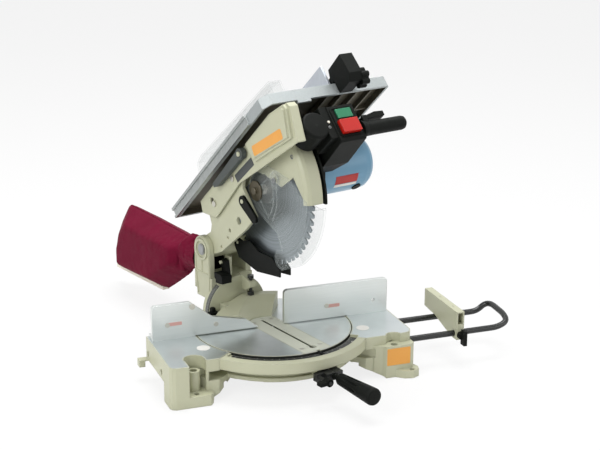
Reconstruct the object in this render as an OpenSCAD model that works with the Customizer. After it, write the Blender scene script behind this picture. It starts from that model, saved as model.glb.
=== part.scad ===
// Table-top mitre saw: a chop saw on a turning table, with a small rip-cut table on the saw head.
// Millimetres. X is the saw's right, Y its back, Z up. The origin is on the turntable axis at the bench.
// The head is drawn raised and the table turned, as the saw stands when it is put away.

/* [Saw blade] */
// Outer diameter of the blade
blade_d = 255; // [250:1:260]
// Bore of the blade
bore_d = 25.4; // [24:0.2:30]
// Thickness of the blade
blade_t = 2.4; // [2:0.1:3]

/* [Base] */
// Height of the work surface above the bench
table_h = 72; // [70:1:80]
// Height of the fence above the work surface
fence_h = 61; // [54:1:64]
// Diameter of the bench bolt holes
foot_hole_d = 9; // [8:0.5:10]
// Diameter of the clamp sockets in the wings
socket_d = 12.4; // [10:0.2:13]

/* [Upper table] */
// Width across the blade
top_w = 247; // [240:1:260]
// Length along the blade
top_l = 373; // [366:1:390]
// Depth of the rim
rim_h = 19; // [17:1:20]
// Blade height above the table in its lowest setting
rip_h = 40; // [37:1:42]

/* [Holder] */
// Diameter of the holder rods
rod_d = 10.5; // [9:0.5:11]
// Outer end of the rod loop from the table axis
rod_x = 404; // [396:1:420]

/* [Motor] */
// Diameter of the motor housing
motor_d = 94; // [90:1:98]

/* [Fits] */
// Radial clearance of a shaft in its bore
run = 0.06; // [0.03:0.01:0.09]
// Gap between faces that slide past each other
slip = 0.4; // [0.35:0.05:0.6]

/* [Hidden] */
$fn = 64;
mitre = 15;
raise = 43;
H = table_h;
br = blade_d / 2;
// the axis the head chops about, and the arbor with the head down, from the table surface
piv_y = 148;
piv_z = H + 105;
arb_y = -45;
arb_z = H + 110;
pv = [piv_y - arb_y, piv_z - arb_z];
// motor axis from the arbor
mt = [-35, 5];
motor_r = motor_d / 2;
// turntable
tt_r = 133;
tt_z = 36;
lip_r = tt_r + 31;
seat_r = tt_r + 16;
arm_end = -(tt_r + 43);
lip_z = tt_z + 14;
scale_z = H - 4.6;
hump_h = 25;
disc_r = 58;
// guard and case radii about the arbor
case_r = br + 3.5;
grd_r = br + 8;
grd_t = 3;
// front of the switch panel
sw_y = -(br + 63.5);
// layers of the head along X
arm_x = -36;
arm_t = 6;
cov_x = -42;
ear_x = -46;
// upper table, heights from the arbor
top_z = br - rip_h;
plate_t = 8;
rim_z = top_z - rim_h;
cov_z = rim_z - 6.5;
top_x = -56;
top_y = -164;
// holder
rod_z = H - 19;
rod_y1 = -90;
rod_y2 = -9;
rr = rod_d / 2;

cream = [0.72, 0.71, 0.58];
black = [0.09, 0.10, 0.09];
alu = [0.74, 0.76, 0.78];
steel = [0.55, 0.56, 0.57];
blue = [0.36, 0.60, 0.79];
clear = [0.82, 0.86, 0.86];

// places: the turned table, and the raised head in arbor coordinates
module turned() { rotate([0, 0, mitre]) children(); }
module head() {
  turned() translate([0, piv_y, piv_z]) rotate([-raise, 0, 0])
    translate([0, -pv[0], -pv[1]]) children();
}
// plain solids between two coordinates
module block(a, b) { translate(a) cube([b[0] - a[0], b[1] - a[1], b[2] - a[2]]); }
module xrod(x0, x1, y, z, r) { translate([x0, y, z]) rotate([0, 90, 0]) cylinder(h = x1 - x0, r = r); }
module yrod(y0, y1, x, z, r) { translate([x, y1, z]) rotate([90, 0, 0]) cylinder(h = y1 - y0, r = r); }
module zrod(z0, z1, x, y, r) { translate([x, y, z0]) cylinder(h = z1 - z0, r = r); }
// a flat outline in y and z pulled along x, and one in x and z pulled along y
module xslab(x0, x1) { translate([x0, 0, 0]) rotate([90, 0, 90]) linear_extrude(x1 - x0) children(); }
module yslab(y0, y1) { translate([0, y1, 0]) rotate([90, 0, 0]) linear_extrude(y1 - y0) children(); }
module zslab(z0, z1) { translate([0, 0, z0]) linear_extrude(z1 - z0) children(); }
// part of a ring between two angles
module fan(r0, r1, a0, a1) {
  intersection() {
    difference() {
      circle(r1);
      circle(r0);
    }
    polygon(concat([[0, 0]], [for (i = [0:4]) let (a = a0 + (a1 - a0) * i / 4) 3 * r1 * [cos(a), sin(a)]]));
  }
}
module disc(y, z, r) { translate([y, z]) circle(r); }
module hexrod(x0, x1, y, z, r) {
  translate([x0, y, z]) rotate([0, 90, 0]) cylinder(h = x1 - x0, r = r, $fn = 6);
}

// base casting

sock_l = [-168, -91];
sock_r = [177, -108];
foot_l = [-168, -109];
foot_r = [204, -123];
foot_b = [98, 48];
module wing_plan() {
  polygon([[-214, 26], [-214, -112], [-211, -118], [-205, -121], [-183, -121], [-183, -104],
    [-128, -104], [-104, -84], [-104, 17], [-138, 17], [-142, 26]]);
}
module base() {
  color(cream) difference() {
    union() {
      zslab(0, H) wing_plan();
      zslab(0, H) polygon([[214, 26], [214, -90], [210, -98], [204, -102], [184, -104], [128, -104],
        [104, -84], [104, 17], [138, 17], [142, 26]]);
      // left foot with its open pocket, right foot with a closed front and a bolt tab
      zslab(0, 18) polygon([[-205, -121], [-147, -121], [-140, -112], [-140, -90], [-205, -90]]);
      zslab(0, 56) polygon([[136, -96], [142, -106], [156, -111], [160, -117], [206, -117],
        [212, -110], [212, -90], [136, -90]]);
      zslab(0, 13) polygon([[158, -98], [166, -108], [190, -128], [204, -131], [216, -125], [219, -114],
        [214, -98]]);
      // lip for the scale, cross beam and centre foot
      zslab(lip_z + 3, H - 1) fan(tt_r + 1, lip_r, -143, -35);
      zslab(tt_z - 7, tt_z - slip) fan(tt_r - 22, tt_r + 5, -154, -28);
      block([-190, -34, 8], [190, 16, tt_z - 2]);
      zrod(0, tt_z - slip, 0, 0, 34);
      for (s = [-1, 1]) translate([s * 91, 0, 0]) {
        block([-13, 10, 0], [13, 36, tt_z - 2]);
        block([-13, 30, 0], [13, 60, 12]);
        translate([s * 7, 48, 0]) cylinder(h = 12, r = 11);
      }
      // lug at the left rear
      block([-230, 12, 24], [-212, 26, 36]);
    }
    // room for the turntable, the scale seat, the hollow ends and the arches
    zrod(tt_z - slip, H + 1, 0, 0, tt_r + 1.6);
    zslab(scale_z, H) fan(tt_r, seat_r, -139.5, -36);
    // slanted arches beside the feet
    yslab(-125, -36) polygon([[-141, -1], [-141, 4], [-97, tt_z - 6.5], [-60, tt_z - 6.5], [-60, -1]]);
    yslab(-125, -36) polygon([[160, -1], [160, 1], [100, tt_z - 6.5], [60, tt_z - 6.5], [60, -1]]);
    // sweep of the turntable arm under the lip
    zslab(tt_z - slip, lip_z + 1) fan(tt_r - 20, tt_r + 46, -152, -36);
    for (s = [-1, 1]) {
      translate([s > 0 ? 150 : -220, -80, -1]) cube([70, 120, 35]);
      translate([s > 0 ? 110 : -144, -96, -1]) cube([34, 104, 27]);
    }
    block([-208, -115, -1], [-188, -86, H - 8]);
    block([188, -92, -1], [208, -86, H - 24]);
    // pocket and clamp socket seats
    block([-183, -122, 18], [-150, -92, H + 1]);
    zrod(18, H + 1, sock_l[0] + 1, sock_l[1] - 2, 17);
    zrod(56, H + 1, sock_r[0], sock_r[1], 14);
    zrod(-1, 57, sock_r[0], sock_r[1], socket_d / 2);
    // bench bolt holes
    zrod(-1, 20, foot_l[0], foot_l[1], foot_hole_d / 2);
    zrod(-1, 20, foot_r[0], foot_r[1], foot_hole_d / 2);
    for (s = [-1, 1]) zrod(-1, 20, s * foot_b[0], foot_b[1], foot_hole_d / 2);
    // rod guides, centre bolt and fence bolts
    xrod(103, 216, rod_y1, rod_z, rr + run);
    xrod(135, 216, rod_y2, rod_z, rr + run);
    xrod(-216, -180, rod_y1 + 24, rod_z - 8, rr + run);
    xrod(-216, -180, rod_y2 + 24, rod_z - 8, rr + run);
    zrod(8, tt_z, 0, 0, 8);
    for (x = [-198, -152, 152, 198]) zrod(H - 16, H + 1, x, 15, 3.1);
  }
  color(cream) difference() {
    zrod(17, 52, sock_l[0], sock_l[1], 10.5);
    zrod(20, 53, sock_l[0], sock_l[1], socket_d / 2);
  }
}
module miter_scale() {
  color(black) zslab(scale_z, scale_z + 1.4) fan(tt_r + 3, seat_r - slip, -137.5, -37.5);
}

// fences

face_dots = [[-184, 25.7, 4], [-141, 53, 5], [-100, 17, 4], [98, 24, 4]];
module fence_holes() {
  for (d = face_dots) yrod(-1, 9, d[0], H + d[1], d[2] / 2 + 0.1);
  for (x = [-198, -152, 152, 198]) zrod(H - 1, H + 7, x, 15, 3.2);
}
module left_fence() {
  color(alu) difference() {
    union() {
      yslab(0, 8) polygon([[-210, H], [-210, H + fence_h - 4], [-206, H + fence_h], [-145, H + fence_h],
        [-138, H + fence_h - 6], [-106, H + fence_h / 2], [-47, H + 18], [-25, H + 1.5],
        [-136.5, H + 1.5], [-136.5, H]]);
      block([-210, 7, H], [-143, 23, H + 6]);
    }
    fence_holes();
  }
}
module right_fence() {
  color(alu) difference() {
    union() {
      yslab(0, 8) polygon([[21, H + 1.5], [21, H + fence_h - 5], [23, H + fence_h - 1.5], [27, H + fence_h],
        [204, H + fence_h], [208.5, H + fence_h - 1.5], [210, H + fence_h - 5], [210, H], [136.5, H],
        [136.5, H + 1.5]]);
      block([143, 7, H], [210, 23, H + 6]);
    }
    fence_holes();
    yrod(-1, 9, 184.5, H + 23.5, 3.2);
  }
}
module fence_screws() {
  color(steel) {
    for (x = [-198, -152, 152, 198]) {
      zrod(H - 14, H + 6.1, x, 15, 3);
      translate([x, 15, H + 6]) cylinder(h = 5, r = 6, $fn = 6);
    }
    for (d = face_dots) {
      yrod(-1.2, 0, d[0], H + d[1], d[2]);
      yrod(-0.1, 8, d[0], H + d[1], d[2] / 2);
    }
  }
}
module pivot_bolt() {
  color(steel) {
    zrod(12, tt_z + 8.1, 0, 0, 7.9);
    zrod(tt_z + 8, tt_z + 13, 0, 0, 13);
  }
}

// workpiece holder at the right

module stick(a, b, r) {
  d = b - a;
  l = norm(d);
  translate(a) rotate([0, acos(d[2] / l), atan2(d[1], d[0])]) cylinder(h = l, r = r);
}
rod_path = [[150, rod_y1, rod_z], [rod_x - 27, rod_y1, rod_z], [rod_x - 9, rod_y1 + 5, rod_z + 5.5],
  [rod_x, rod_y1 + 17, rod_z + 12], [rod_x, rod_y2 - 12, rod_z + 14.5],
  [rod_x - 6, rod_y2 - 1, rod_z + 13], [rod_x - 21, rod_y2, rod_z], [175, rod_y2, rod_z]];
module holder_rods() {
  color(black) {
    for (i = [0:len(rod_path) - 2]) stick(rod_path[i], rod_path[i + 1], rr);
    for (i = [1:len(rod_path) - 2]) translate(rod_path[i]) sphere(rr + 0.15);
  }
}
stop_x = 296;
stop_w = 13.5;
stop_z = H + 22;
module stop_plate() {
  color(cream) difference() {
    union() {
      block([stop_x, -101, stop_z - 24], [stop_x + stop_w, 27, stop_z]);
      xslab(stop_x, stop_x + stop_w) polygon([[-101, rod_z - 9], [-80, rod_z - 9],
        [-16, rod_z + rr + 0.8], [27, rod_z + rr + 4], [27, stop_z - 23], [-101, stop_z - 23]]);
    }
    block([stop_x + 2, -102, stop_z - 22], [stop_x + stop_w - 2, 28, stop_z - 2]);
    xrod(stop_x - 1, stop_x + stop_w + 1, rod_y1, rod_z, rr + run);
    yrod(-102, rod_y1, stop_x + stop_w / 2, rod_z, 3 + run);
    for (y = [-70, -20]) zrod(stop_z - 3, stop_z + 1, stop_x + stop_w / 2, y, 1.5);
  }
}
module stop_screw() {
  x = stop_x + stop_w / 2;
  color(black) {
    yrod(-110, rod_y1 - rr - slip, x, rod_z, 3);
    yrod(-112, -101.5, x, rod_z, 6.5);
    block([x - 3, -122, rod_z - 13], [x + 3, -109, rod_z + 13]);
  }
}

// turntable

module turntable() {
  color(alu) turned() difference() {
    union() {
      zrod(tt_z, H, 0, 0, tt_r);
      // arm to the grip, hump behind the fence and the bevel block
      block([-16, arm_end, tt_z], [16, -100, lip_z - 0.6]);
      block([-30, arm_end + 9, tt_z], [-10, arm_end + 18, lip_z - 0.6]);
      difference() {
        zslab(tt_z + 20, H + hump_h) intersection() {
          fan(46, 104, 46, 134);
          rotate(45) translate([9.5, 9.5]) square(120);
        }
        rotate_extrude() polygon([[40, H + 2], [46, H + 2], [56, H + 9], [70, H + 18], [82, H + 23],
          [92, H + hump_h + 1], [40, H + hump_h + 1]]);
        yslab(10, 110) polygon([[8, H + hump_h + 0.1], [-64, H + 3], [-110, H + 3], [-110, H + 60],
          [8, H + 60]]);
      }
      block([-36, 92, tt_z + 4], [36, 107.5, H + 15]);
      yrod(arm_end - 22, arm_end + 16, -24, 43, 3);
    }
    // hollow underside with four ribs
    difference() {
      zslab(tt_z - 1, H - 10) difference() {
        circle(tt_r - 7);
        circle(44);
      }
      for (a = [0:90:270]) rotate([0, 0, a + 45]) block([40, -4, 0], [tt_r - 3, 4, H]);
      block([-17, -tt_r, 0], [17, -40, lip_z]);
      block([-42, 60, 0], [42, tt_r, H]);
    }
    // seat of the kerf board, chip slot, flat back and pointer seat
    zslab(H - 3.8, H + 1) board_plan(0.2);
    block([-5, -118, lip_z], [26, 38, H]);
    block([-tt_r, 107.6, 0], [tt_r, tt_r + 9, H + 60]);
    block([-3.3, -tt_r - 7, H - 2.6], [3.3, 4.8 - tt_r, H + 1]);
    // bores
    zrod(tt_z - 1, tt_z + 9, 0, 0, 7.9 + run);
    zrod(tt_z + 8, lip_z + 1, 0, 0, 14);
    yrod(arm_end - 1, arm_end + 38, 0, 43, 6);
    yrod(91.8, 109, 0, H, 9 + run);
    for (p = board_holes) zrod(H - 14, H, p[0], p[1], 2);
  }
}
board_holes = [[-18, -110], [18, -110], [-18, 28], [18, 28]];
module board_plan(g) {
  intersection() {
    translate([-26 - g, 5 - tt_r - g]) square([52 + 2 * g, tt_r + 50]);
    union() {
      circle(45 + g);
      translate([-40, -tt_r]) square([80, tt_r + 20]);
    }
  }
}
module kerf_board() {
  color([0.80, 0.78, 0.70]) turned() difference() {
    zslab(H - 3.8, H) board_plan(0);
    yslab(-112, 34) polygon([[-2, H + 1], [2, H + 1], [2, H], [6.2, H - 4], [-2, H - 4]]);
    zrod(H - 5, H + 1, 2, -113, 6);
    for (p = board_holes) {
      zrod(H - 5, H + 1, p[0], p[1], 2.2);
      zrod(H - 1.8, H + 1, p[0], p[1], 4);
    }
  }
}
module kerf_screws() {
  color(steel) turned() for (p = board_holes) {
    zrod(H - 12, H - 1.7, p[0], p[1], 1.9);
    zrod(H - 1.8, H - 0.3, p[0], p[1], 3.8);
  }
}
module pointer() {
  color([0.75, 0.12, 0.1]) turned() block([-3, -tt_r - 11, H - 2.6], [3, 4.6 - tt_r, H - 1.6]);
}
module grip() {
  color(black) turned() translate([0, arm_end - 0.6, 43]) rotate([90, 0, 0]) {
    difference() {
      rotate_extrude() polygon([[0, 0], [4.5, 0], [4.5, 12], [8.6, 13], [10, 16], [14.2, 92],
        [14.4, 98], [13.4, 101], [11, 102], [0, 102.4]]);
      for (a = [0:45:315]) rotate([2.6 * sin(a), -2.6 * cos(a), 0]) rotate(a)
        translate([13.4, 0, 22]) cylinder(h = 64, r = 2.4);
    }
    translate([0, 0, -34]) cylinder(h = 35, r = 6 - run);
  }
}
module detent_lever() {
  color(black) turned() difference() {
    union() {
      block([-42, arm_end - 20, 40], [-26, arm_end - 8, 46]);
      yrod(arm_end - 20, arm_end - 8, -24, 43, 6.5);
    }
    yrod(arm_end - 23, arm_end - 5, -24, 43, 3 + run);
  }
}
module bevel_pin() {
  color(steel) turned() {
    yrod(92, 146, 0, H, 9);
    yrod(128.5, 133, 0, H, 16);
  }
}
module bevel_pointer() {
  color(black) turned() {
    block([-62, 97, H], [-46, 107.2, H + 5]);
    block([-57, 100, H + 4], [-50, 107.2, H + 12]);
  }
}

// bevel bracket with the ears of the head

module ear(x0, x1) {
  xslab(x0, x1) union() {
    disc(piv_y, piv_z, 24);
    polygon([[122, H + 18], [122, H + 60], [124, piv_z], [172, piv_z], [170, H + 60], [164, H + 18]]);
  }
}
module arm_bracket() {
  color(cream) turned() difference() {
    union() {
      yrod(108, 128, 0, H, disc_r);
      block([ear_x, 118, H + 18], [38, 165, H + 58]);
      ear(ear_x, arm_x - slip);
      ear(28, 38);
      // ring boss and rib on the left ear
      difference() {
        xrod(ear_x - 3, ear_x + 1, piv_y, piv_z, 19);
        xrod(ear_x - 4, ear_x, piv_y, piv_z, 15);
      }
      // rear plate for the nozzle, latch lug and pin, stop lug
      block([ear_x, 167.5, H + 30], [38, 172, H + 100]);
      block([-13, 112, H + 40], [-8, 126, H + 94]);
      xrod(-29, -10, 117, H + 86, 3);
      xslab(10, 24) polygon([[120, H + 60], [120, H + 36], [98, H + 33], [84, H + 41], [84, H + 50],
        [98, H + 56]]);
    }
    yrod(107, 129, 0, H, 9 + run);
    xrod(ear_x - 5, 40, piv_y, piv_z, 8 + run);
    zrod(H + 30, H + 60, 17, 91, 3 + 0.05);
    yrod(160, 173, -4, H + 68, 19);
  }
}
module bevel_scale() {
  color(steel) turned() yslab(109, 117.5) translate([0, H]) fan(disc_r, disc_r + 2, 128, 196);
}
module bevel_lever() {
  color(black) turned() difference() {
    union() {
      yrod(133.5, 144, 0, H, 15);
      yslab(134, 143) polygon([[-9, H], [9, H], [64, H - 36], [58, H - 46], [50, H - 48]]);
    }
    yrod(130, 146, 0, H, 9 + run);
  }
}
module stop_bolt() {
  color(black) turned() {
    translate([17, 91, H + hump_h + 0.4]) cylinder(h = 6, r = 6.5, $fn = 6);
    zrod(H + hump_h + 6, H + 60, 17, 91, 3);
    translate([17, 91, H + 56.5]) cylinder(h = 5, r = 6, $fn = 6);
  }
}
module latch() {
  color(black) turned() difference() {
    union() {
      xslab(-44, -24) polygon([[88, H + 57], [108, H + 55], [108, H + 60], [112, H + 64], [112, H + 73],
        [93, H + 73], [88, H + 70]]);
      xslab(-26, -16) polygon([[103, H + 66], [112, H + 64], [122, H + 86], [117, H + 92], [108, H + 90]]);
    }
    xrod(-30, -8, 117, H + 86, 3 + run);
  }
}
module pivot_shaft() {
  color(steel) turned() {
    xrod(ear_x - 3, 41, piv_y, piv_z, 8);
    xrod(ear_x - 2, ear_x - 0.2, piv_y, piv_z, 10);
    xrod(38.2, 42, piv_y, piv_z, 12);
  }
}
module dust_nozzle() {
  color(black) turned() difference() {
    union() {
      yrod(172, 236, -4, H + 68, 23);
      yrod(172, 176, -4, H + 68, 28);
    }
    yrod(171, 237, -4, H + 68, 19);
  }
}
// dust bag: two cloth sides that meet in a seam all round, with a cuff on the nozzle and a slide rail
bag_side = [[226, H + 44], [216, H + 100], [474, H + 107], [505, H + 66], [523, H + 12], [522, H - 34],
  [342, H - 30]];
bag_mid = [372, H + 42];
module dust_bag() {
  color([0.45, 0.10, 0.26]) turned() difference() {
    union() {
      hull() {
        xslab(-8, 0) polygon(bag_side);
        xslab(-48, 40) polygon([for (p = bag_side) bag_mid + 0.62 * (p - bag_mid)]);
      }
      yrod(206, 250, -4, H + 68, 27);
    }
    yrod(205, 237, -4, H + 68, 23.2);
  }
}
module bag_rail() {
  color([0.85, 0.83, 0.74]) turned() xslab(-11, 3)
    polygon([[344, H - 30.4], [520, H - 34.3], [520, H - 41], [344, H - 37]]);
}

// head casting

arm_plan = [[18, -39], [60, -40], [152, -33], [186, -22], [193, 13], [176, 12.8], [160, 10],
  [148, 18], [140, cov_z - 22], [100, cov_z - 12], [0, cov_z - 12], [-20, cov_z - 22], [0, 32], [18, 18]];
cov_fix = [[104, cov_z - 26], [24, cov_z - 22]];
case_fix = [[84, cov_z - 28], [54, cov_z - 20]];
dg_pin = [132, -30];
module head_arm() {
  color(cream) head() difference() {
    union() {
      xslab(arm_x, arm_x + arm_t) polygon(arm_plan);
      xslab(18, 27) polygon([[20, -42], [60, -40], [152, -33], [186, -22], [193, 13], [160, 10],
        [148, 18], [140, cov_z - 22], [20, cov_z - 22]]);
      xrod(18, 27, 0, 0, 46);
      xrod(11.5, 19, 0, 0, 30.7);
      // pivot barrel, rear tie and the block for the table posts
      xrod(arm_x, 27.6, pv[0], pv[1], 18);
      block([arm_x, 164, -8], [27, 182, 10]);
      block([26, 56, -10], [56, 134, 24]);
      // pins of the guard link and the dust guard
      xrod(-42, arm_x + 1, 28, -2, 3.5);
      xrod(-13.4, 19, dg_pin[0], dg_pin[1], 3);
    }
    xrod(arm_x - 1, 29, pv[0], pv[1], 8 + run);
    xrod(10, 28, 0, 0, 16);
    xrod(arm_x - 1, arm_x + arm_t + 1, 67, -19, 6.5);
    xrod(arm_x - 1, arm_x + arm_t + 1, 104, -17.5, 3.5);
    for (p = [[148, -26], [118, -24]]) xrod(arm_x - 1, arm_x + 3, p[0], p[1], 2.5);
    for (p = concat(cov_fix, case_fix)) xrod(arm_x - 1, arm_x + arm_t + 1, p[0], p[1], 2.5);
    for (y = post_y) zrod(-8, 25, post_x, y, 7);
  }
}
post_x = 41;
post_y = [74, 116];
module table_posts() {
  color(steel) head() for (y = post_y) zrod(-8, top_z - plate_t - 3, post_x, y, 7);
}

// covers

module cov_plan(i) {
  polygon([[118 - i, 16 + i], [150 - i, 44], [142 - i, cov_z - i], [-140, cov_z - i],
    [sw_y - 4 + i, cov_z - 11 - i], [sw_y - 8 + i, cov_z - 20], [sw_y + 11 + i, -11 + i], [14, 24 + i]]);
}
module cov_field(i) {
  polygon([[-56 - i, cov_z - 2 - i], [-149, cov_z - 2 - i], [sw_y + i, cov_z - 11 - i],
    [sw_y - 3 + i, cov_z - 20], [sw_y + 17 + i, i], [-120, 12 + i], [-60 - i, 24 + i]]);
}
module upper_cover() {
  color(cream) head() difference() {
    union() {
      xslab(cov_x, cov_x + 3) cov_plan(0);
      difference() {
        xslab(cov_x, -26.5) cov_plan(0);
        xslab(cov_x - 1, -25) cov_plan(3);
        block([-27.5, nose_y + 8, -40], [20, 300, 200]);
        block([cov_x + 3, sw_y + 15, -60], [20, 300, 30]);
        block([cov_x + 3, 100, -60], [20, 300, 200]);
      }
      // raised field below the table rail
      xslab(cov_x - 5, cov_x + 1) cov_field(0);
      xslab(cov_x - 8, cov_x - 4) cov_field(4);
      for (p = cov_fix) xrod(cov_x + 2, arm_x, p[0], p[1], 6);
      xrod(cov_x - 14, cov_x + 1, -38, cov_z - 9, 4);
    }
    for (p = cov_fix) xrod(cov_x - 1, arm_x + 1, p[0], p[1], 2.5);
    xrod(cov_x - 1, cov_x + 4, 108, 44, 6);
  }
}
module blade_case() {
  color(cream) head() difference() {
    union() {
      xslab(-19, -16.5) difference() {
        intersection() {
          circle(case_r - 7);
          polygon([[-99, -33], [-99, -88], [-200, -88], [-200, cov_z], [112, cov_z], [112, 26], [36, 26],
            [-30, 14], [-59, -28]]);
        }
        circle(30);
      }
      // rounded rim round the front of the blade
      intersection() {
        rotate([90, 0, 90]) rotate_extrude() polygon([[case_r - 8, -19], [case_r - 4, -18],
          [case_r + 0.5, -14.5], [case_r + 2.5, -9], [case_r + 2.5, 12], [case_r, 12], [case_r, -8.5],
          [case_r - 1.5, -12.5], [case_r - 5, -15.5], [case_r - 8, -16.5]]);
        xslab(-20, 13) fan(60, case_r + 8, 152, 221);
      }
      for (p = case_fix) xrod(arm_x + arm_t, -18, p[0], p[1], 6);
    }
    for (p = case_fix) xrod(arm_x + arm_t - 1, -16, p[0], p[1], 2.5);
    xrod(-19.5, -18, -118.5, -6, 4);
  }
}
module cover_screws() {
  color(steel) head() {
    for (p = cov_fix) {
      xrod(cov_x - 2.5, cov_x, p[0], p[1], 5);
      xrod(cov_x - 0.1, arm_x + arm_t, p[0], p[1], 2.3);
    }
    for (p = case_fix) {
      xrod(arm_x - 2.5, arm_x, p[0], p[1], 5);
      xrod(arm_x - 0.1, -17, p[0], p[1], 2.3);
    }
  }
}

// drive

gear_x = [44, 60];
module gear_housing() {
  color(black) head() difference() {
    union() {
      xslab(27, 62) union() {
        circle(46);
        disc(mt[0], mt[1], motor_r + 3);
        polygon([[2, 44], [mt[0] - 2, mt[1] + motor_r], [mt[0] - 2, mt[1] - motor_r], [2, -44]]);
      }
      xslab(17, 20.5) fan(47, case_r + 3, 166, 222);
      xslab(20, 27) fan(47, 84, 168, 212);
      xrod(61, 71, mt[0], mt[1], 16);
      // gland for the supply cord
      yrod(26, 58, 45, 34, 6.5);
    }
    yrod(40, 59, 45, 34, 4);
    // gear room and bearing seats
    xrod(gear_x[0] - 2, gear_x[1], 0, 0, 30);
    xrod(gear_x[0] - 2, gear_x[1], mt[0], mt[1], 11);
    xrod(26, gear_x[0], 0, 0, 16);
    xrod(gear_x[0], 72, mt[0], mt[1], 11);
    xrod(63, 72, mt[0], mt[1], 12.5);
  }
}
module motor_housing() {
  m = motor_r;
  color(blue) head() difference() {
    translate([0, mt[0], mt[1]]) rotate([90, 0, 90]) union() {
      rotate_extrude() polygon([[m - 3.5, 62], [m, 62], [m, 151], [m - 1.5, 160], [m - 6, 167.5],
        [m - 14, 173], [m - 27, 175], [0, 175], [0, 171], [m - 27, 171], [m - 15, 169], [m - 9, 164.5],
        [m - 5, 157], [m - 3.5, 149]]);
      translate([0, 0, 155]) difference() {
        cylinder(h = 17, r = 15);
        translate([0, 0, -1]) cylinder(h = 17, r = 11);
      }
    }
    for (s = [-1, 1]) zrod(s > 0 ? 30 : -60, s > 0 ? 70 : -20, 139, mt[0], 8.2);
    for (a = [0:45:315]) translate([170, mt[0], mt[1]]) rotate([a, 0, 0])
      translate([0, 19, -1.6]) cube([6, 12, 3.2]);
  }
}
module brush_caps() {
  color(black) head() for (s = [-1, 1]) translate([139, mt[0], mt[1]]) mirror([0, 0, s > 0 ? 0 : 1]) {
    zrod(motor_r - 8, motor_r + 1.5, 0, 0, 8);
  }
}
module stator() {
  color(steel) head() difference() {
    xrod(84, 127, mt[0], mt[1], motor_r - 3.5);
    xrod(83, 128, mt[0], mt[1], 30.5);
  }
}
module armature() {
  color(steel) head() {
    xrod(45, 169, mt[0], mt[1], 5.5);
    xrod(85, 126, mt[0], mt[1], 30);
    xrod(74, 81, mt[0], mt[1], motor_r - 7);
    xrod(131, 149, mt[0], mt[1], 16);
    xrod(45, 59, mt[0], mt[1], norm(mt) - 27.3 - 0.35);
  }
}
module bearings() {
  color(steel) head() {
    for (x = [28, 35]) xslab(x, x + 6) difference() {
      circle(16);
      circle(10 + run);
    }
    xslab(63.2, 71) translate(mt) difference() {
      circle(12.5);
      circle(5.5 + run);
    }
    xslab(156, 165) translate(mt) difference() {
      circle(11);
      circle(5.5 + run);
    }
  }
}
module spindle() {
  color(steel) head() difference() {
    union() {
      xrod(-6, 9, 0, 0, bore_d / 2 - 0.04);
      xrod(8.9, 58, 0, 0, 10);
    }
    xrod(-7, 8, 0, 0, 5.05);
  }
}
module main_gear() {
  color(steel) head() xslab(gear_x[0] + 1, 58) difference() {
    circle(27.3);
    circle(10);
  }
}
module flanges() {
  color(steel) head() {
    xslab(blade_t / 2, 9) difference() {
      circle(24);
      circle(bore_d / 2);
    }
    difference() {
      xrod(-9, -blade_t / 2, 0, 0, 24);
      xrod(-6.1, 0, 0, 0, bore_d / 2);
      xrod(-10, -5, 0, 0, 5.2);
    }
  }
}
module arbor_bolt() {
  color(steel) head() {
    hexrod(-17, -9, 0, 0, 9);
    xrod(-9.1, 7, 0, 0, 5);
  }
}
module blade() {
  teeth = 60;
  color(alu) head() xslab(-blade_t / 2, blade_t / 2) difference() {
    circle(br);
    circle(bore_d / 2);
    for (i = [0:teeth - 1]) rotate(i * 360 / teeth)
      polygon([[br + 2, -6], [br + 2, 3.2], [br - 0.4, 3.2], [br - 8, 0.4], [br - 7.4, -2], [br - 2, -3.2]]);
  }
}

// guards

module lower_guard() {
  g = grd_r + grd_t;
  color(clear) head() difference() {
    union() {
      xslab(-25, -22.5) intersection() {
        circle(g);
        union() {
          polygon([[-10, 26], [-52, 20], [-92, -30], [-103, -72], [-118, -100], [-60, -170], [4, -170],
            [5, -110], [-3, -82], [13, -48], [26, -10], [20, 18]]);
          disc(18, -120, 16);
        }
      }
      xslab(-25, 15) fan(grd_r, g, -136, -78);
      xslab(12.5, 15) union() {
        circle(38);
        fan(30, g, -134, -82);
      }
      // ribs round the hub
      xslab(-27, -24) union() {
        fan(50, 53, -178, -92);
        fan(60, 62.5, -176, -98);
        fan(20, 62, -178, -174);
        fan(20, 53, -96, -91);
      }
    }
    xrod(-28, -20, 0, 0, 12);
    xrod(11, 16, 0, 0, 30.7 + run);
  }
}
module hub_plate() {
  color(steel) head() {
    xrod(-27.5, -25, 0, 0, 17);
    hexrod(-31, -27.4, 0, 0, 6.5);
  }
}
module guard_link() {
  color(black) head() xslab(-41, arm_x - slip) difference() {
    union() {
      disc(28, -2, 9.5);
      disc(19, -40, 8);
      polygon([[18.8, 0], [11, -39], [26.6, -42], [37, -5]]);
    }
    disc(28, -2, 3.5 + run);
  }
}
module dust_guard() {
  color(black) head() difference() {
    union() {
      for (x = [-13, 7]) xslab(x, x + 2.5) polygon([[96, -47], [86, -72], [56, -100], [50, -127],
        [58, -136], [76, -123], [113, -97], [146, -52], [144, -30], [136, -23], [126, -24], [116, -36]]);
      block([-13, 136.5, -42], [9.5, 142, -26]);
    }
    xrod(-14, 11, dg_pin[0], dg_pin[1], 3 + run);
  }
}

// upper table

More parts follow.
